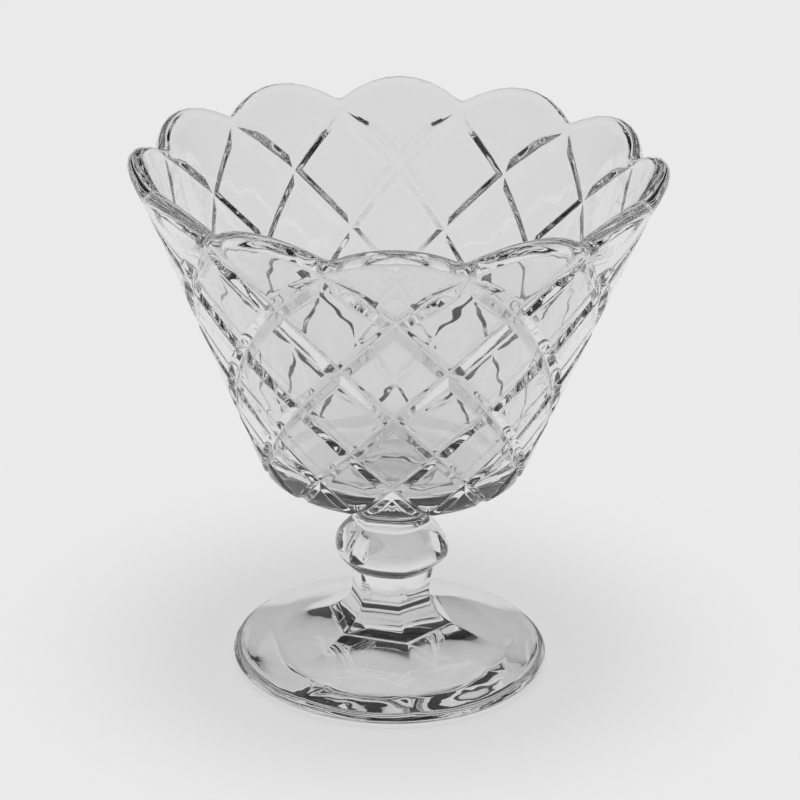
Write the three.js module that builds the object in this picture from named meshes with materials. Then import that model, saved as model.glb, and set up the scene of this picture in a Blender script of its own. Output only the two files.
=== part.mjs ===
// Footed dessert bowl in clear pressed glass: a scalloped bowl with a lattice of V grooves,
// a six-sided stem with a knop, and a round foot. Millimetres, +Z up, the front is -Y.
// The origin is the middle of the plane that the foot rests on.
import * as THREE from 'three';
import { mergeVertices } from 'three/addons/utils/BufferGeometryUtils.js';

// Foot
const footRadius = 36.7;
const edgeHeight = 2; // resting plane to the widest part of the edge
const edgeUnder = 5; // how far the edge curves in below that
const edgeRound = 1.1; // radius of the edge above that
const footHeight = 10.4; // resting plane to the seat of the stem
const restRingWidth = 6.7; // the flat ring that the foot stands on
const footHollow = 2.5; // rise of the dished underside inside that ring
const ridgeFadeRadius = 28; // where the stem's ridges die out on top of the foot

// Stem, from the foot upwards: radii are to the ridges
const stemSides = 6;
const stemSeatRadius = 15; // on the foot
const flareBend = 2.6; // height where the flare's two tangents meet
const flareLength = 7.6;
const neckRadius = 9.3;
const neckLength = 6.7;
const creaseRadius = 10.2; // under the knop
const knopRadius = 13.5;
const knopSwell = 4.1; // height from the crease to the widest part of the knop
const knopTaper = 7; // and from there to the upper neck
const knopFlatness = 0.34; // 1 has flat sides like the neck, 0 is round
const upperNeckRadius = 9;
const upperNeckLength = 2.6;
const collarLength = 10; // the widening under the bowl
const collarBend = 3.3; // depth under the bowl where the collar's two tangents meet
const collarRadius = 11.5;

// Bowl: the sides are a cone, measured outside the pads between the grooves
const lobes = 12; // scallops round the rim, and grooves of each hand
const diamondRows = 6; // from the notches of the rim to the base corner
const baseRadius = 29.5; // where the side meets the plane of the underside
const notchRadius = 58.4; // of the same side, level with the notches
const notchHeight = 71.2; // underside to the top of the rim in a notch
const lobeRise = 4.7; // a lobe's crest above its notches
const lobeBulge = 1; // how far a crest stands out from the cone
const wall = 4.4;
const floorThickness = 6;
const outerCorner = 5.5; // radius between the side and the underside
const innerCorner = 9; // radius between the side and the floor, inside
const grooveDepth = 1.8; // of the widest grooves, just under the rim: the rest shrink with their row
const grooveWidth = 4.6; // across those grooves
const grooveRunout = 6; // length over which a groove rises to the surface at the rim

// Fineness of the faceted surfaces
const padSteps = 4; // facets along the side of a pad
const rimSteps = 4; // facets over the round of the rim
const cornerSteps = 4;
const curveSteps = 5;
const sideSteps = 6; // facets over one side of the stem

const glass = { color: 0xe4e9ea, roughness: 0.04, metalness: 0, transparent: true, opacity: 0.4 };

// A closed skin, gathered triangle by triangle. Rings run anticlockwise seen from above,
// and bands follow the outline from the underside outwards, up, and back inside.
class Skin {
  corners = [];

  triangle(a, b, c) {
    this.corners.push(a, b, c);
  }

  band(from, to) {
    from.forEach((corner, i) => {
      const next = (i + 1) % from.length;
      this.triangle(corner, from[next], to[next]);
      this.triangle(corner, to[next], to[i]);
    });
  }

  bands(rings) {
    rings.slice(1).forEach((ring, i) => this.band(rings[i], ring));
  }

  fanOut(middle, ring) {
    ring.forEach((corner, i) => this.triangle(middle, ring[(i + 1) % ring.length], corner));
  }

  fanIn(ring, middle) {
    ring.forEach((corner, i) => this.triangle(corner, ring[(i + 1) % ring.length], middle));
  }

  geometry() {
    const merged = mergeVertices(new THREE.BufferGeometry().setFromPoints(this.corners));
    merged.computeVertexNormals();
    return merged;
  }
}

const onAxis = (z) => new THREE.Vector3(0, 0, z);
const around = (turn, radius, z) => new THREE.Vector3(radius * Math.sin(turn), -radius * Math.cos(turn), z);

const halfLobe = Math.PI / lobes; // the front is the middle of a lobe, so the first notch is this far round
const lowCrease = footHeight + flareLength + neckLength;
const knopMiddle = lowCrease + knopSwell;
const knopTop = knopMiddle + knopTaper;
const collarStart = knopTop + upperNeckLength;
const bowlFoot = collarStart + collarLength;

// A ring of the stem or foot: shape 1 is the stem's polygon, with a ridge under a notch of the rim,
// and shape 0 is a circle.
function sidedRing(radius, z, shape) {
  const side = (2 * Math.PI) / stemSides;
  const columns = stemSides * sideSteps;
  return Array.from({ length: columns }, (_, i) => {
    const turn = (2 * Math.PI * i) / columns;
    const fromMiddle = (turn % side) - side / 2;
    const flat = Math.cos(side / 2) / Math.cos(fromMiddle);
    return around(halfLobe + turn, radius * (1 + shape * (flat - 1)), z);
  });
}

// Foot: dished underside, flat resting ring, curved edge, then a cone that takes on the stem's ridges.
function footGeometry() {
  const edge = new THREE.Vector2(footRadius - edgeRound, edgeHeight);
  const seat = new THREE.Vector2(stemSeatRadius, footHeight);
  const toSeat = seat.clone().sub(edge);
  const tangentTurn = toSeat.angle() - Math.acos(edgeRound / toSeat.length());
  const ringOuter = footRadius - edgeUnder;
  const ringInner = ringOuter - restRingWidth;
  const dish = (ringInner ** 2 + footHollow ** 2) / (2 * footHollow); // radius of the dished underside
  const dishTurn = Math.asin(ringInner / dish);
  const outline = new THREE.Path();
  outline.absarc(0, footHollow - dish, dish, Math.PI / 2, Math.PI / 2 - dishTurn, true);
  outline.lineTo(ringOuter, 0);
  outline.absellipse(ringOuter, edgeHeight, edgeUnder, edgeHeight, -Math.PI / 2, 0, false);
  outline.absarc(edge.x, edge.y, edgeRound, 0, tangentTurn, false);
  const [middle, ...points] = outline.getPoints(curveSteps);
  const top = points.at(-1);
  const ridgeShape = (radius) => THREE.MathUtils.smoothstep(-radius, -ridgeFadeRadius, -stemSeatRadius);
  const rings = points.map((p) => sidedRing(p.x, p.y, 0));
  for (let i = 1; i <= curveSteps; i++) {
    const p = top.clone().lerp(seat, i / curveSteps);
    rings.push(sidedRing(p.x, p.y, ridgeShape(p.x)));
  }
  const skin = new Skin();
  skin.fanOut(onAxis(middle.y), rings[0]);
  skin.bands(rings);
  skin.fanIn(rings.at(-1), onAxis(footHeight));
  return skin.geometry();
}

// Stem: flare, neck, a knop that swells and tapers as a cosine, upper neck and collar. The sides are
// flat up to the neck and bulge from there to the knop.
function stemGeometry() {
  const flareTop = footHeight + flareLength;
  const outline = new THREE.Path();
  outline.moveTo(stemSeatRadius, footHeight);
  outline.quadraticCurveTo(neckRadius, footHeight + flareBend, neckRadius, flareTop);
  outline.quadraticCurveTo(neckRadius, (flareTop + lowCrease) / 2, creaseRadius, lowCrease);
  const points = outline.getPoints(curveSteps);
  for (let i = 1 - curveSteps; i <= curveSteps; i++) {
    const along = i / curveSteps; // from the widest part of the knop
    const [end, length] = i < 0 ? [creaseRadius, knopSwell] : [upperNeckRadius, knopTaper];
    const radius = end + (knopRadius - end) * Math.cos((along * Math.PI) / 2);
    points.push(new THREE.Vector2(radius, knopMiddle + along * length));
  }
  const upper = new THREE.Path();
  upper.moveTo(upperNeckRadius, knopTop);
  upper.lineTo(upperNeckRadius, collarStart);
  upper.quadraticCurveTo(upperNeckRadius, bowlFoot - collarBend, collarRadius, bowlFoot);
  points.push(...upper.getPoints(curveSteps).slice(1));
  const bulge = (z) => (1 - knopFlatness) * THREE.MathUtils.smoothstep(z, flareTop, lowCrease);
  const rings = points.map((p) => sidedRing(p.x, p.y, 1 - bulge(p.y)));
  const skin = new Skin();
  skin.fanOut(onAxis(footHeight), rings[0]);
  skin.bands(rings);
  skin.fanIn(rings.at(-1), onAxis(bowlFoot));
  return skin.geometry();
}

// Bowl: places on the outside are given as a step, half a lobe wide, and a level, one row of
// crossings. Grooves run where step + level or step - level is an odd number.
const lean = Math.atan2(notchRadius - baseRadius, notchHeight);
const slantTop = notchRadius / Math.sin(lean); // along the side, from the tip of the cone
const slantBase = baseRadius / Math.sin(lean);
const tipHeight = bowlFoot + notchHeight - slantTop * Math.cos(lean);
const rowRatio = (baseRadius / notchRadius) ** (1 / diamondRows);
const rimDrop = (wall * (Math.sin(lean) + Math.cos(lean))) / 2; // the round of the rim above its edge
const cornerTurn = Math.PI / 2 - lean;
const cornerTangent = outerCorner * Math.tan(cornerTurn / 2);

// Half the groove width as a share of the distance between neighbouring grooves in the top row.
function grooveShare() {
  const across = notchRadius * rowRatio * halfLobe;
  const down = (slantTop * (1 - rowRatio ** 2)) / 2;
  return (grooveWidth * Math.hypot(across, down)) / (4 * across * down);
}

const share = grooveShare();
const inner = Array.from({ length: padSteps + 1 }, (_, i) => share + ((1 - 2 * share) * i) / padSteps);
const stations = [0, ...inner, 1];
const last = stations.length - 1;
const toLine = (x) => Math.abs(x - Math.round(x));
const fromCrest = (step) => Math.abs(step - 2 * Math.round(step / 2));

function grooveAt(step, level) {
  const nearest = Math.min(toLine((step + level - 1) / 2), toLine((step - level - 1) / 2));
  const belowRim = level * slantTop * (1 - rowRatio);
  const depth = grooveDepth * rowRatio ** level * Math.min(1, belowRim / grooveRunout);
  return depth * Math.max(0, 1 - nearest / share);
}

// The lobes are arcs over the half diamonds at the rim, which stretch up and out to meet them:
// this is the lobe's height at a place, which is nothing from the grooves down.
function lobeAt(step, level) {
  const halfChord = notchRadius * halfLobe;
  const arc = (halfChord ** 2 + lobeRise ** 2) / (2 * lobeRise);
  const away = fromCrest(step);
  const reach = 1 - away;
  const height = Math.sqrt(arc ** 2 - (away * halfChord) ** 2) - arc + lobeRise;
  return level < reach ? height * (1 - level / reach) : 0;
}

// A point on the outside, sunk below the pads: the side is straight, then turns round the corner.
function outside(step, slant, sunk) {
  const bent = (slantBase + cornerTangent - slant) / outerCorner;
  const turn = lean + THREE.MathUtils.clamp(bent, 0, cornerTurn);
  const reach = outerCorner - sunk;
  const straight = Math.max(0, -bent) * outerCorner;
  const radius = baseRadius - cornerTangent + reach * Math.cos(turn) + straight * Math.sin(lean);
  const z = bowlFoot + outerCorner - reach * Math.sin(turn) + straight * Math.cos(lean);
  return around(step * halfLobe, radius, z);
}

function outsideAt(step, level, sunk = grooveAt(step, level)) {
  const lobe = lobeAt(step, level);
  const lift = (lobe - rimDrop * Math.max(0, 1 - level)) / Math.cos(lean);
  return outside(step, slantTop * rowRatio ** level + lift, sunk - (lobeBulge * lobe) / lobeRise);
}

// One diamond between four crossings, or the half of it that lies below the rim or above the base.
function addDiamond(skin, middleStep, middleLevel) {
  const corner = (i, j) => {
    const step = middleStep + stations[i] - stations[j];
    return outsideAt(step, middleLevel - 1 + stations[i] + stations[j]);
  };
  const belowRim = (reach) => middleLevel > 0 || reach >= last;
  const aboveBase = (reach) => middleLevel < diamondRows || reach <= last;
  for (let i = 0; i < last; i++) {
    for (let j = 0; j < last; j++) {
      const [a, b, c, d] = [corner(i, j), corner(i, j + 1), corner(i + 1, j + 1), corner(i + 1, j)];
      if (i < last / 2 === j < last / 2) {
        if (!belowRim(i + j) || !aboveBase(i + j + 2)) continue;
        skin.triangle(a, b, c);
        skin.triangle(a, c, d);
      } else {
        if (belowRim(i + j) && aboveBase(i + j + 1)) skin.triangle(a, b, d);
        if (belowRim(i + j + 1) && aboveBase(i + j + 2)) skin.triangle(b, c, d);
      }
    }
  }
}

function bowlGeometry() {
  const steps = [];
  for (let lobe = 0; lobe < lobes; lobe++) {
    stations.slice(0, last).forEach((station) => steps.push(2 * lobe + 2 * station - 1));
  }
  const skin = new Skin();

  // Outside: the diamonds, then the rest of the base corner down to the flat underside
  for (let level = 0; level <= diamondRows; level++) {
    for (let lobe = 0; lobe < lobes; lobe++) addDiamond(skin, 2 * lobe + (level % 2), level);
  }
  const slantEnd = slantBase + cornerTangent - outerCorner * cornerTurn;
  const baseSteps = steps.map((step) => step + (diamondRows % 2));
  const underside = baseSteps.map((step) => outside(step, slantEnd, 0));
  skin.fanOut(onAxis(bowlFoot), underside);
  skin.band(underside, baseSteps.map((step) => outsideAt(step, diamondRows)));

  // Rim: half a round from the outside edge to the inside edge of the wall
  const rim = Array.from({ length: rimSteps + 1 }, (_, i) => {
    const turn = (Math.PI * i) / rimSteps;
    return steps.map((step) => {
      const edge = outsideAt(step, 0);
      const half = outsideAt(step, 0, wall).sub(edge).divideScalar(2);
      const rise = half.length() * Math.sin(turn);
      const point = edge.addScaledVector(half, 1 - Math.cos(turn));
      return point.add(around(step * halfLobe, rise * Math.sin(lean), rise * Math.cos(lean)));
    });
  });
  skin.bands(rim);

  // Inside: a smooth cone, its round corner and the floor
  const floorZ = bowlFoot + floorThickness;
  const floorRadius = (floorZ - tipHeight) * Math.tan(lean) - wall / Math.cos(lean);
  const flatRadius = floorRadius - innerCorner * Math.tan(cornerTurn / 2);
  const insideRings = [rim.at(-1), steps.map((step) => outsideAt(step, 1, wall))];
  for (let i = 0; i <= cornerSteps; i++) {
    const turn = lean + (cornerTurn * i) / cornerSteps;
    const radius = flatRadius + innerCorner * Math.cos(turn);
    const z = floorZ + innerCorner * (1 - Math.sin(turn));
    insideRings.push(steps.map((step) => around(step * halfLobe, radius, z)));
  }
  skin.bands(insideRings);
  skin.fanIn(insideRings.at(-1), onAxis(floorZ));
  return skin.geometry();
}

function glassMesh(name, geometry) {
  const mesh = new THREE.Mesh(geometry, new THREE.MeshStandardMaterial(glass));
  mesh.name = name;
  return mesh;
}

const dessertBowl = new THREE.Group();
dessertBowl.name = 'dessert_bowl';
dessertBowl.add(glassMesh('foot', footGeometry()));
dessertBowl.add(glassMesh('stem', stemGeometry()));
dessertBowl.add(glassMesh('bowl', bowlGeometry()));

export default dessertBowl;
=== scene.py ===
import math
import bmesh
import bpy
import numpy as np
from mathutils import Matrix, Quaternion, Vector


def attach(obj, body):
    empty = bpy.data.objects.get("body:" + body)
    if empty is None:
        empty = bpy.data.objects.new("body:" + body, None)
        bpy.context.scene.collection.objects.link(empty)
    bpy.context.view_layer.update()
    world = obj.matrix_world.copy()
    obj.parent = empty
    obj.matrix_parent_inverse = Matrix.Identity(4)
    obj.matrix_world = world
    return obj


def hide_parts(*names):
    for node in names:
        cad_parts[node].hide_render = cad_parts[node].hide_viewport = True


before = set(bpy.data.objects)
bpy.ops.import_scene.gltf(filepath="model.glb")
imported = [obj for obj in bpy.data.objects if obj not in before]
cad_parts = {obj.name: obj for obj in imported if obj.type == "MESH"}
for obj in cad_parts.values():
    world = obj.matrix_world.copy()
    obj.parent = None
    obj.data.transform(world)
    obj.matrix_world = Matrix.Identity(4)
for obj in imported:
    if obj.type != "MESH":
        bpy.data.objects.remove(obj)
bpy.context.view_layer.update()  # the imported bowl, stem and foot, in metres
mm = 0.001
tiny = 1e-9  # keeps a divisor off zero
print("frame:", sorted(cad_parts))


# Shared shape helpers, in millimetres

def around(turn, radius, z):  # a point at this turn from the front, anticlockwise seen from above
    turn, radius, z = np.broadcast_arrays(turn, radius, z)
    return np.stack([radius * np.sin(turn), -radius * np.cos(turn), z], -1)


def softMax(value, blend):  # the larger of value and 0, with a parabola of half width blend between the two
    return np.where(np.abs(value) < blend, (value + blend) ** 2 / (4 * blend), np.maximum(value, 0))


def bend(start, corner, end, steps):  # quadratic curve from start to end whose two tangents meet at corner
    t = np.linspace(0, 1, steps + 1)[:, None]
    return (1 - t) ** 2 * np.array(start) + 2 * t * (1 - t) * np.array(corner) + t ** 2 * np.array(end)


def arc(centre, radius, fromTurn, toTurn, steps):  # part of a circle in the plane of radius and height
    turn = np.linspace(fromTurn, toTurn, steps + 1)
    return np.stack([centre[0] + radius * np.cos(turn), centre[1] + radius * np.sin(turn)], -1)


def line(start, end, steps):  # evenly spaced points from start to end
    return np.linspace(start, end, steps + 1)


def bandFaces(rows, columns):  # triangles of a grid of rings that are closed round the axis
    i, j = np.meshgrid(np.arange(rows - 1), np.arange(columns), indexing="ij")
    here, nextOne = i * columns + j, i * columns + (j + 1) % columns
    first = np.stack([here, nextOne, nextOne + columns], -1)
    second = np.stack([here, nextOne + columns, here + columns], -1)
    return np.concatenate([first.reshape(-1, 3), second.reshape(-1, 3)])


def ringGrid(rings):  # rings as an array of rows, columns and coordinates
    return rings.reshape(-1, 3), bandFaces(*rings.shape[:2])


# One closed piece from several grids, each with its material slot: points that meet are welded

weldDistance = 0.002


def makePiece(name, grids, materials):
    points, faces, slots, count = [], [], [], 0
    for (gridPoints, gridFaces), slot in grids:
        points.append(gridPoints)
        faces.append(gridFaces + count)
        slots.append(np.full(len(gridFaces), slot))
        count += len(gridPoints)
    mesh = bpy.data.meshes.new(name)
    mesh.from_pydata((np.concatenate(points) * mm).tolist(), [], np.concatenate(faces).tolist())
    mesh.polygons.foreach_set("material_index", np.concatenate(slots).astype(np.int32))
    welded = bmesh.new()
    welded.from_mesh(mesh)
    bmesh.ops.remove_doubles(welded, verts=welded.verts, dist=weldDistance * mm)
    welded.to_mesh(mesh)
    welded.free()
    mesh.shade_smooth()
    for material in materials:
        mesh.materials.append(material)
    piece = bpy.data.objects.new(name, mesh)
    bpy.context.scene.collection.objects.link(piece)
    print(name, len(mesh.vertices), "points", len(mesh.polygons), "faces")
    return piece


# Node helpers: a node with its settings, and its inputs as constants or as sockets to link from

def addNode(tree, kind, inputs=(), **settings):
    node = tree.nodes.new("ShaderNode" + kind)
    for name, value in settings.items():
        setattr(node, name, value)
    for key, value in dict(inputs).items():
        if isinstance(value, bpy.types.NodeSocket):
            tree.links.new(value, node.inputs[key])
        else:
            node.inputs[key].default_value = value
    return node


def calc(tree, operation, *values):
    return addNode(tree, "Math", enumerate(values), operation=operation).outputs[0]


def ease(tree, value, low, high, fromValue=0.0, toValue=1.0):  # smooth step from low to high
    ends = {"Value": value, "From Min": low, "From Max": high, "To Min": fromValue, "To Max": toValue}
    return addNode(tree, "MapRange", ends, interpolation_type="SMOOTHSTEP").outputs[0]


def emptyTree(material):
    material.use_nodes = True
    material.node_tree.nodes.clear()
    return material.node_tree


# Pressed glass: clear, with the slow waves and the faint unevenness that the mould leaves; its even grey tint
# is partly the glass's own faint tint and partly painted shade, deepened to stand in for darker surroundings

# tint: an even grey, partly the glass's own faint tint and partly painted shade that stands in for darker
# surroundings
glassLook = dict(
    tintAndShade=(0.9, 0.9, 0.9), tintDip=0.985, ior=1.52, waveScale=65, waveDetail=2, waveDepth=0.0002,
    hazeScale=300, hazeRange=(0.35, 0.65), roughness=(0.0, 0.02), slantBlend=0.5,
)


def makeMouldMarksAndShade():  # noise over the object's own coordinates: wave height, roughness, and the tint with its painted shade
    group = bpy.data.node_groups.new("mouldMarksAndShade", "ShaderNodeTree")
    group.interface.new_socket("Vector", in_out="INPUT", socket_type="NodeSocketVector")
    for name, kind in (("Height", "Float"), ("Roughness", "Float"), ("Tint", "Color")):
        group.interface.new_socket(name, in_out="OUTPUT", socket_type="NodeSocket" + kind)
    place = group.nodes.new("NodeGroupInput").outputs["Vector"]
    waves = addNode(group, "TexNoise", {
        "Vector": place, "Scale": glassLook["waveScale"], "Detail": glassLook["waveDetail"],
    }).outputs["Fac"]
    haze = addNode(group, "TexNoise", {"Vector": place, "Scale": glassLook["hazeScale"]}).outputs["Fac"]
    roughness = ease(group, haze, *glassLook["hazeRange"], *glassLook["roughness"])
    # the even grey of painted shade and faint tint dips a little further along the waves
    dip = glassLook["tintDip"]
    tintAndShade = addNode(group, "Mix", {
        "Factor": waves, "A": (*glassLook["tintAndShade"], 1), "B": (*(c * dip for c in glassLook["tintAndShade"]), 1),
    }, data_type="RGBA").outputs["Result"]
    out = group.nodes.new("NodeGroupOutput")
    group.links.new(waves, out.inputs["Height"])
    group.links.new(roughness, out.inputs["Roughness"])
    group.links.new(tintAndShade, out.inputs["Tint"])
    return group


def makeGlass():
    material = bpy.data.materials.new("pressedGlass")
    tree = emptyTree(material)
    place = addNode(tree, "TexCoord").outputs["Object"]
    marks = addNode(tree, "Group", node_tree=makeMouldMarksAndShade())
    tree.links.new(place, marks.inputs["Vector"])
    waves = addNode(tree, "Bump", {"Height": marks.outputs["Height"], "Distance": glassLook["waveDepth"]})
    # the base colour carries the tint with its painted shade
    shader = addNode(tree, "BsdfPrincipled", {
        "Base Color": marks.outputs["Tint"], "Roughness": marks.outputs["Roughness"],
        "Normal": waves.outputs["Normal"], "IOR": glassLook["ior"], "Transmission Weight": 1.0,
    })
    # the lamp's light passes where it meets the glass squarely and is held back where it slants,
    # so the shadow on the floor is lighter under the flat parts
    slant = addNode(tree, "LayerWeight", {"Blend": glassLook["slantBlend"]}).outputs["Facing"]
    passing = addNode(tree, "BsdfTransparent", {"Color": calc(tree, "SUBTRACT", 1.0, slant)})
    lampRay = addNode(tree, "LightPath").outputs["Is Shadow Ray"]
    surface = addNode(tree, "MixShader", {0: lampRay, 1: shader.outputs[0], 2: passing.outputs[0]})
    addNode(tree, "OutputMaterial", {"Surface": surface.outputs[0]})
    return material


def makeSeam():  # the fused faces inside the glass, which light passes unbent
    material = bpy.data.materials.new("fusedSeam")
    material.use_nodes = True
    material.node_tree.nodes["Principled BSDF"].inputs["Alpha"].default_value = 0
    return material


glass = makeGlass()
seam = makeSeam()
glassFace, seamFace = 0, 1  # their places in a piece's list of materials
print("materials:", glass.name, seam.name)

# Foot and stem

foot = dict(
    radius=36.7, edgeHeight=2, edgeUnder=5, edgeRound=1.1, height=10.4, restRing=6.7, hollow=2.5, ridgeFade=28,
    dishSteps=20, ringSteps=4, edgeSteps=14, topSteps=28, seatSteps=2,
)
stem = dict(
    sides=6, ridgePower=60, seatRadius=15, flareBend=2.6, flareLength=7.6, neckRadius=9.3, neckLength=6.7,
    creaseRadius=10.2, knopRadius=13.5, knopSwell=4.1, knopTaper=7, knopFlatness=0.34,
    upperNeckRadius=9, upperNeckLength=2.6, collarLength=10, collarBend=3.3, collarRadius=11.5,
    sideSteps=24, ridgeCrowd=0.8, curveSteps=24, neckSteps=6, seatSteps=2,
)

lowCrease = foot["height"] + stem["flareLength"] + stem["neckLength"]
knopMiddle = lowCrease + stem["knopSwell"]
knopTop = knopMiddle + stem["knopTaper"]
collarStart = knopTop + stem["upperNeckLength"]
bowlFoot = collarStart + stem["collarLength"]


# Turns round the axis for the stem and foot, closer together at the ridges

def ridgeTurns():
    count = stem["sides"] * stem["sideSteps"]
    u = np.arange(count) / count * stem["sides"]
    return (u - stem["ridgeCrowd"] * np.sin(2 * np.pi * u) / (2 * np.pi)) * 2 * np.pi / stem["sides"]


# Radius of the stem's polygon as a share of its ridges' radius: the flats' distances joined by a high power

def sided(turn):
    side, power = 2 * np.pi / stem["sides"], stem["ridgePower"]
    middles = (np.arange(stem["sides"]) + 0.5) * side
    towards = np.maximum(np.cos(np.asarray(turn)[..., None] - middles), 0)
    return math.cos(side / 2) * (2 / np.sum(towards ** power, -1)) ** (1 / power)


def sidedRings(outline, shape):  # outline as radius and height, shape 1 for the polygon and 0 for a circle
    turn = ridgeTurns()
    radius = outline[:, :1] * (1 + np.reshape(shape, (-1, 1)) * (sided(turn) - 1))
    return around(halfLobe + turn, radius, outline[:, 1:])


# Arc of the hollow underside, flat ring, quarter ellipse and small arc of the edge, then a cone to the seat

def makeFoot():
    edgeX, edgeZ = foot["radius"] - foot["edgeRound"], foot["edgeHeight"]
    seatX, seatZ = stem["seatRadius"], foot["height"]
    toSeat = math.atan2(seatZ - edgeZ, seatX - edgeX)
    tangentTurn = toSeat - math.acos(foot["edgeRound"] / math.hypot(seatX - edgeX, seatZ - edgeZ))
    ringOuter = foot["radius"] - foot["edgeUnder"]
    ringInner = ringOuter - foot["restRing"]
    dish = (ringInner ** 2 + foot["hollow"] ** 2) / (2 * foot["hollow"])
    dishTurn = math.asin(ringInner / dish)
    under = arc((0, foot["hollow"] - dish), dish, math.pi / 2, math.pi / 2 - dishTurn, foot["dishSteps"])
    ring = line((ringInner, 0), (ringOuter, 0), foot["ringSteps"])
    lower = arc((0, 0), 1, -math.pi / 2, 0, foot["edgeSteps"]) * (foot["edgeUnder"], edgeZ) + (ringOuter, edgeZ)
    upper = arc((edgeX, edgeZ), foot["edgeRound"], 0, tangentTurn, foot["edgeSteps"])
    top = line(upper[-1], (seatX, seatZ), foot["topSteps"])
    outline = np.concatenate([under, ring[1:], lower[1:], upper[1:], top[1:]])
    fade = np.clip((foot["ridgeFade"] - top[1:, 0]) / (foot["ridgeFade"] - seatX), 0, 1)
    shape = np.zeros(len(outline))
    shape[-len(fade):] = fade ** 2 * (3 - 2 * fade)
    rings = sidedRings(outline, shape)
    seat = sidedRings(line((seatX, seatZ), (0, seatZ), foot["seatSteps"]), np.ones(foot["seatSteps"] + 1))
    grids = [(ringGrid(rings), glassFace), (ringGrid(seat), seamFace)]
    return makePiece("foot_glass", grids, [glass, seam])


# Flare and shaft are quadratic curves, the knop swells and tapers as a cosine, and the sides bulge there

def makeStem():
    seatZ, flareTop = foot["height"], foot["height"] + stem["flareLength"]
    neck, crease, upperNeck = stem["neckRadius"], stem["creaseRadius"], stem["upperNeckRadius"]
    steps = stem["curveSteps"]
    flare = bend((stem["seatRadius"], seatZ), (neck, seatZ + stem["flareBend"]), (neck, flareTop), steps)
    shaft = bend((neck, flareTop), (neck, (flareTop + lowCrease) / 2), (crease, lowCrease), steps)
    t = np.linspace(-1, 1, 2 * steps + 1)
    end, length = np.where(t < 0, crease, upperNeck), np.where(t < 0, stem["knopSwell"], stem["knopTaper"])
    swell = (stem["knopRadius"] - end) * np.cos(t * np.pi / 2)
    knop = np.stack([end + swell, knopMiddle + t * length], -1)
    upper = line((upperNeck, knopTop), (upperNeck, collarStart), stem["neckSteps"])
    collarBend = (upperNeck, bowlFoot - stem["collarBend"])
    collar = bend((upperNeck, collarStart), collarBend, (stem["collarRadius"], bowlFoot), steps)
    outline = np.concatenate([flare, shaft[1:], knop[1:], upper[1:], collar[1:]])
    low = line((0, seatZ), (stem["seatRadius"], seatZ), stem["seatSteps"])
    high = line((stem["collarRadius"], bowlFoot), (0, bowlFoot), stem["seatSteps"])

    def shape(part):  # flat sides up to the flare's top, then a smooth step to the knop's flatness
        rise = np.clip((part[:, 1] - flareTop) / (lowCrease - flareTop), 0, 1)
        return 1 - (1 - stem["knopFlatness"]) * rise ** 2 * (3 - 2 * rise)

    parts = ((low, seamFace), (outline, glassFace), (high, seamFace))
    grids = [(ringGrid(sidedRings(part, shape(part))), slot) for part, slot in parts]
    return makePiece("stem_glass", grids, [glass, seam])


# Bowl: a place on the outside is a step, half a lobe wide, and a level, one row of crossings

bowl = dict(
    lobes=12, rows=6, baseRadius=29.5, notchRadius=58.4, notchHeight=71.2, lobeRise=4.7, lobeBulge=1.0,
    notchSoft=0.1, wall=4.4, floor=6, outerCorner=5.5, innerCorner=9,
    grooveDepth=1.8, grooveWidth=4.6, grooveRunout=6, bottomSoft=0.05, shoulderSoft=0.06, grooveReach=1.4,
    grooveSteps=10, padSteps=6, rimSteps=14, lobeSteps=10, wallSteps=10, cornerSteps=12, floorSteps=4,
    baseSteps=8, undersideSteps=4,
)

halfLobe = math.pi / bowl["lobes"]  # the front is the middle of a lobe, a ridge of the stem lies under a notch
lean = math.atan2(bowl["notchRadius"] - bowl["baseRadius"], bowl["notchHeight"])
slantTop = bowl["notchRadius"] / math.sin(lean)
slantBase = bowl["baseRadius"] / math.sin(lean)
rowRatio = (bowl["baseRadius"] / bowl["notchRadius"]) ** (1 / bowl["rows"])
rimDrop = bowl["wall"] * (math.sin(lean) + math.cos(lean)) / 2
cornerTurn = math.pi / 2 - lean
cornerTangent = bowl["outerCorner"] * math.tan(cornerTurn / 2)
across = bowl["notchRadius"] * rowRatio * halfLobe
down = slantTop * (1 - rowRatio ** 2) / 2
grooveShare = bowl["grooveWidth"] * math.hypot(across, down) / (4 * across * down)


def toLine(x):  # distance to the nearest whole number
    return np.abs(x - np.round(x))


# Grooves lie where step + level or step - level is odd. Depth falls straight from the middle line to the edge,
# softened at the bottom and the shoulders, and the V narrows to nothing where it rises to the rim.

def grooveAt(step, level):
    nearest = np.minimum(toLine((step + level - 1) / 2), toLine((step - level - 1) / 2)) / grooveShare
    nearest = np.sqrt(nearest ** 2 + bowl["bottomSoft"] ** 2)
    run = np.clip(level * slantTop * (1 - rowRatio) / bowl["grooveRunout"], 0, 1)
    return bowl["grooveDepth"] * rowRatio ** level * softMax(run - nearest, bowl["shoulderSoft"])


# Height of a lobe above its notches: an arc, softened in the notches, that fades down its half diamond

def lobeAt(step, level):
    reach = 1 - np.abs(step - 2 * np.round(step / 2))
    soft = bowl["notchSoft"]
    fromNotch = (np.sqrt(reach ** 2 + soft ** 2) - soft) / (math.sqrt(1 + soft ** 2) - soft)
    halfChord = bowl["notchRadius"] * halfLobe
    lobeArc = (halfChord ** 2 + bowl["lobeRise"] ** 2) / (2 * bowl["lobeRise"])
    height = np.sqrt(lobeArc ** 2 - ((1 - fromNotch) * halfChord) ** 2) - lobeArc + bowl["lobeRise"]
    return height * np.clip(1 - level / np.maximum(reach, tiny), 0, 1)


# The side is a straight cone that turns round the base corner, sunk inwards along its normal

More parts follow.
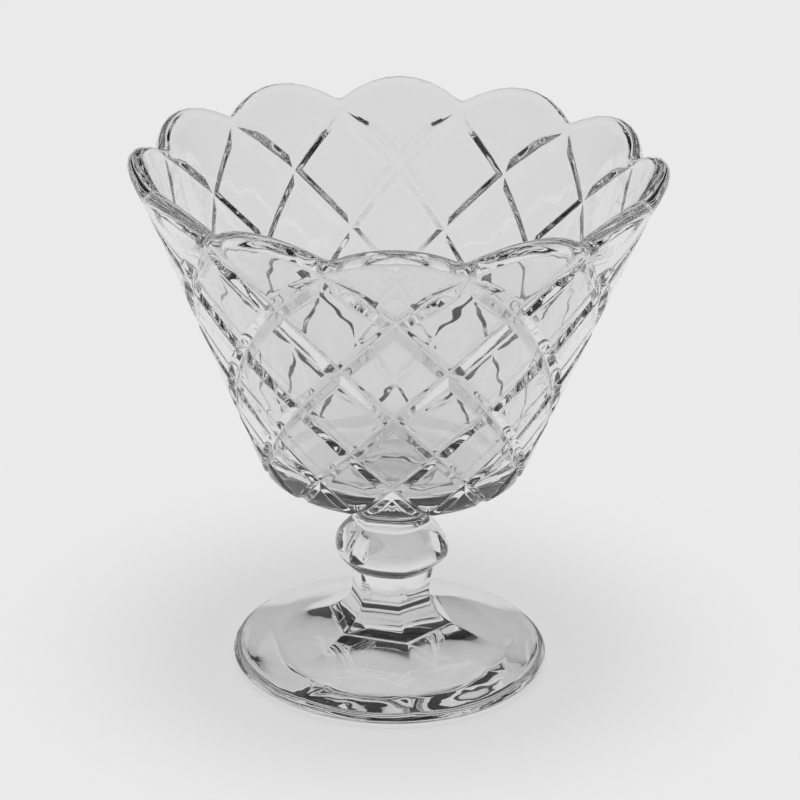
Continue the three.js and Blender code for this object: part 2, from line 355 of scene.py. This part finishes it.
def outside(step, slant, sunk):
    corner = bowl["outerCorner"]
    bent = (slantBase + cornerTangent - slant) / corner
    turn = lean + np.clip(bent, 0, cornerTurn)
    reach, straight = corner - sunk, np.maximum(-bent, 0) * corner
    radius = bowl["baseRadius"] - cornerTangent + reach * np.cos(turn) + straight * math.sin(lean)
    z = bowlFoot + corner - reach * np.sin(turn) + straight * math.cos(lean)
    return around(step * halfLobe, radius, z)


# The same by level: the slant shrinks by one ratio each row, and a lobe lifts it and bulges near the rim

def outsideAt(step, level, sunk):
    lobe = lobeAt(step, level)
    lift = (lobe - rimDrop * np.maximum(1 - level, 0)) / math.cos(lean)
    bulge = bowl["lobeBulge"] * lobe / bowl["lobeRise"]
    return outside(step, slantTop * rowRatio ** level + lift, sunk - bulge)


# Places along one side of a diamond: close together over the grooves, wide apart on the pad

def diamondStations():
    reach = bowl["grooveReach"] * grooveShare
    groove = np.linspace(0, reach, bowl["grooveSteps"] + 1)
    pad = np.linspace(reach, 1 - reach, bowl["padSteps"] + 1)
    return np.concatenate([groove[:-1], pad, 1 - groove[-2::-1]])


# The lattice: whole diamonds between four crossings, and halves of them at the rim and the base

def latticeGrid(stations):
    last = len(stations) - 1
    rows, lobes = np.meshgrid(np.arange(bowl["rows"] + 1), np.arange(bowl["lobes"]), indexing="ij")
    middleLevel, middleStep = rows.ravel()[:, None, None], (2 * lobes + rows % 2).ravel()[:, None, None]
    step = middleStep + stations[:, None] - stations[None, :]
    level = middleLevel - 1 + stations[:, None] + stations[None, :]
    points = outsideAt(step, level, grooveAt(step, level))
    i, j = (x.ravel() for x in np.meshgrid(np.arange(last), np.arange(last), indexing="ij"))
    a = i * (last + 1) + j
    b, c, d = a + 1, a + last + 2, a + last + 1
    alike = ((i < last / 2) == (j < last / 2))[:, None]
    first = np.where(alike, np.stack([a, b, c], -1), np.stack([a, b, d], -1))
    second = np.where(alike, np.stack([a, c, d], -1), np.stack([b, c, d], -1))
    cell = np.concatenate([first, second])
    depth = cell // (last + 1) + cell % (last + 1)  # rows of points below the diamond's upper crossing
    faces = cell[None] + (np.arange(len(points)) * (last + 1) ** 2)[:, None, None]
    belowRim = (middleLevel[:, 0] > 0) | (depth.min(1)[None] >= last)
    aboveBase = (middleLevel[:, 0] < bowl["rows"]) | (depth.max(1)[None] <= last)
    used, faces = np.unique(faces[belowRim & aboveBase], return_inverse=True)
    return points.reshape(-1, 3)[used], faces.reshape(-1, 3)


def makeBowl():
    stations = diamondStations()
    lobes = 2 * np.arange(bowl["lobes"])[:, None]
    steps = (lobes + 2 * stations[None, :-1] - 1).ravel()  # round the rim

    # base corner below the lattice, where the grooves fade, then the underside with the stem's seam
    slantEnd = slantBase + cornerTangent - bowl["outerCorner"] * cornerTurn
    baseSteps = steps + bowl["rows"] % 2
    t = np.linspace(0, 1, bowl["baseSteps"] + 1)[:, None]
    slant = slantTop * rowRatio ** bowl["rows"] * (1 - t) + slantEnd * t
    level = np.log(slant / slantTop) / math.log(rowRatio)
    corner = outside(baseSteps, slant, grooveAt(baseSteps, level) * (1 - t) ** 2)[::-1]
    edge = corner[:1]
    flatness = 1 + stem["knopFlatness"] * (sided(baseSteps * halfLobe - halfLobe) - 1)
    hexagon = around(baseSteps * halfLobe, stem["collarRadius"] * flatness, bowlFoot)
    t = np.linspace(0, 1, bowl["undersideSteps"] + 1)[:, None, None]
    underside = hexagon * (1 - t) + edge * t
    joint = hexagon * t + np.array((0, 0, bowlFoot)) * (1 - t)

    # rim: half a round from the outside edge to the inside edge of the wall
    outerEdge = outsideAt(steps, 0 * steps, grooveAt(steps, 0 * steps))
    innerEdge = outsideAt(steps, 0 * steps, bowl["wall"] + 0 * steps)
    turn = np.linspace(0, np.pi, bowl["rimSteps"] + 1)[:, None, None]
    half = (innerEdge - outerEdge) / 2
    rise = np.linalg.norm(half, axis=-1, keepdims=True) * np.sin(turn)
    upwards = around(steps * halfLobe, math.sin(lean), math.cos(lean))
    rim = outerEdge + half * (1 - np.cos(turn)) + rise * upwards

    # inside: a smooth cone that follows the lobes near the rim, its corner and the floor
    level = np.linspace(0, 1, bowl["lobeSteps"] + 1)[:, None]
    nearRim = outsideAt(steps[None], level + 0 * steps, bowl["wall"])
    tip = bowlFoot + bowl["notchHeight"] - slantTop * math.cos(lean)
    floorZ = bowlFoot + bowl["floor"]
    floorRadius = (floorZ - tip) * math.tan(lean) - bowl["wall"] / math.cos(lean)
    flatRadius = floorRadius - bowl["innerCorner"] * math.tan(cornerTurn / 2)
    cornerCentre = (flatRadius, floorZ + bowl["innerCorner"])
    innerCorner = arc(cornerCentre, bowl["innerCorner"], -lean, -np.pi / 2, bowl["cornerSteps"])
    floorLine = line(innerCorner[-1], (0, floorZ), bowl["floorSteps"])
    below = np.concatenate([innerCorner, floorLine[1:]])
    belowRings = around(steps * halfLobe, below[:, :1], below[:, 1:])
    t = np.linspace(0, 1, bowl["wallSteps"] + 1)[1:-1, None, None]
    straight = nearRim[-1:] * (1 - t) + belowRings[:1] * t
    inside = np.concatenate([nearRim, straight, belowRings])

    skin = [ringGrid(underside), ringGrid(corner), latticeGrid(stations), ringGrid(rim), ringGrid(inside)]
    grids = [(ringGrid(joint), seamFace)] + [(grid, glassFace) for grid in skin]
    return makePiece("bowl_glass", grids, [glass, seam])


for piece, node in ((makeFoot(), "foot"), (makeStem(), "stem"), (makeBowl(), "bowl")):
    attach(piece, "root")
    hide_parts(node)

# Stage: a plain pale floor with a soft shadow, the same seen directly, in the gloss and through the glass

scene = bpy.context.scene
stage = dict(size=6.0, gap=0.0002, pale=0.83, shadow=0.4)


def makeFloorPaint():
    material = bpy.data.materials.new("paleFloor")
    tree = emptyTree(material)
    colour = (stage["pale"],) * 3 + (1,)
    plain = addNode(tree, "Emission", {"Color": colour})
    lit = addNode(tree, "BsdfDiffuse", {"Color": colour})
    shown = addNode(tree, "MixShader", {0: stage["shadow"], 1: plain.outputs[0], 2: lit.outputs[0]})
    path = addNode(tree, "LightPath").outputs
    clear = calc(tree, "MAXIMUM", path["Is Glossy Ray"], path["Is Transmission Ray"])
    seen = calc(tree, "MAXIMUM", path["Is Camera Ray"], clear)
    mixed = addNode(tree, "MixShader", {0: seen, 1: lit.outputs[0], 2: shown.outputs[0]})
    addNode(tree, "OutputMaterial", {"Surface": mixed.outputs[0]})
    return material


def makeFloor():
    half = stage["size"] / 2
    corners = np.array([(-half, -half), (half, -half), (half, half), (-half, half)])
    mesh = bpy.data.meshes.new("floor")
    heights = np.full(len(corners), -stage["gap"])
    mesh.from_pydata(np.c_[corners, heights].tolist(), [], [range(len(corners))])
    mesh.materials.append(makeFloorPaint())
    floor = bpy.data.objects.new("floor", mesh)
    scene.collection.objects.link(floor)


# Studio: a soft lamp overhead, a pale backdrop low all round, a darker room above it and a dim ceiling.
# Every kind of ray sees the same room.

studio = dict(
    lampStrength=3.0, lampAngle=40, lampTilt=(4, 0), pale=0.83, backdropRise=(2, 6), room=0.02,
    ceiling=0.05, ceilingRise=(55, 75),
)


def makeLamp():
    data = bpy.data.lights.new("overhead", "SUN")
    data.energy, data.angle = studio["lampStrength"], math.radians(studio["lampAngle"])
    lamp = bpy.data.objects.new("overhead", data)
    lamp.rotation_euler = (math.radians(studio["lampTilt"][0]), math.radians(studio["lampTilt"][1]), 0)
    lamp.visible_glossy = lamp.visible_transmission = False
    scene.collection.objects.link(lamp)


def makeWorld():
    world = bpy.data.worlds.new("studio")
    world.use_nodes = True
    tree = world.node_tree
    tree.nodes.clear()
    way = addNode(tree, "SeparateXYZ", {0: addNode(tree, "TexCoord").outputs["Generated"]}).outputs
    rise = calc(tree, "ARCSINE", way["Z"])
    backdrop = ease(tree, rise, *map(math.radians, studio["backdropRise"]), studio["pale"], studio["room"])
    ceiling = ease(tree, rise, *map(math.radians, studio["ceilingRise"]), 0.0, studio["ceiling"])
    glow = calc(tree, "MAXIMUM", backdrop, ceiling)
    background = addNode(tree, "Background", {"Color": (1, 1, 1, 1), "Strength": glow})
    addNode(tree, "OutputWorld", {"Surface": background.outputs[0]})
    scene.world = world


makeFloor()
makeLamp()
makeWorld()
print("stage: floor", stage["size"], "m, lamp strength", studio["lampStrength"])

# Camera: the photograph's view, a long lens from a little above

view = dict(
    target=(0.00129, 0, 0.06542), distance=0.76169, elevation=math.radians(23.47), roll=math.radians(1.132),
    lens=149.9, sensor=36,
)


def makeCamera():
    data = bpy.data.cameras.new("camera")
    data.lens, data.sensor_width = view["lens"], view["sensor"]
    camera = bpy.data.objects.new("camera", data)
    back = Vector((0, -math.cos(view["elevation"]), math.sin(view["elevation"])))
    camera.location = Vector(view["target"]) + back * view["distance"]
    camera.rotation_mode = "QUATERNION"
    camera.rotation_quaternion = (-back).to_track_quat("-Z", "Y") @ Quaternion((0, 0, 1), view["roll"])
    scene.collection.objects.link(camera)
    scene.camera = camera


makeCamera()
print("camera:", view["distance"], "m away, lens", view["lens"], "mm")
scene.view_settings.view_transform = "Standard"
scene.cycles.max_bounces = 24
scene.cycles.transmission_bounces = 24
scene.cycles.glossy_bounces = 12
scene.cycles.transparent_max_bounces = 16
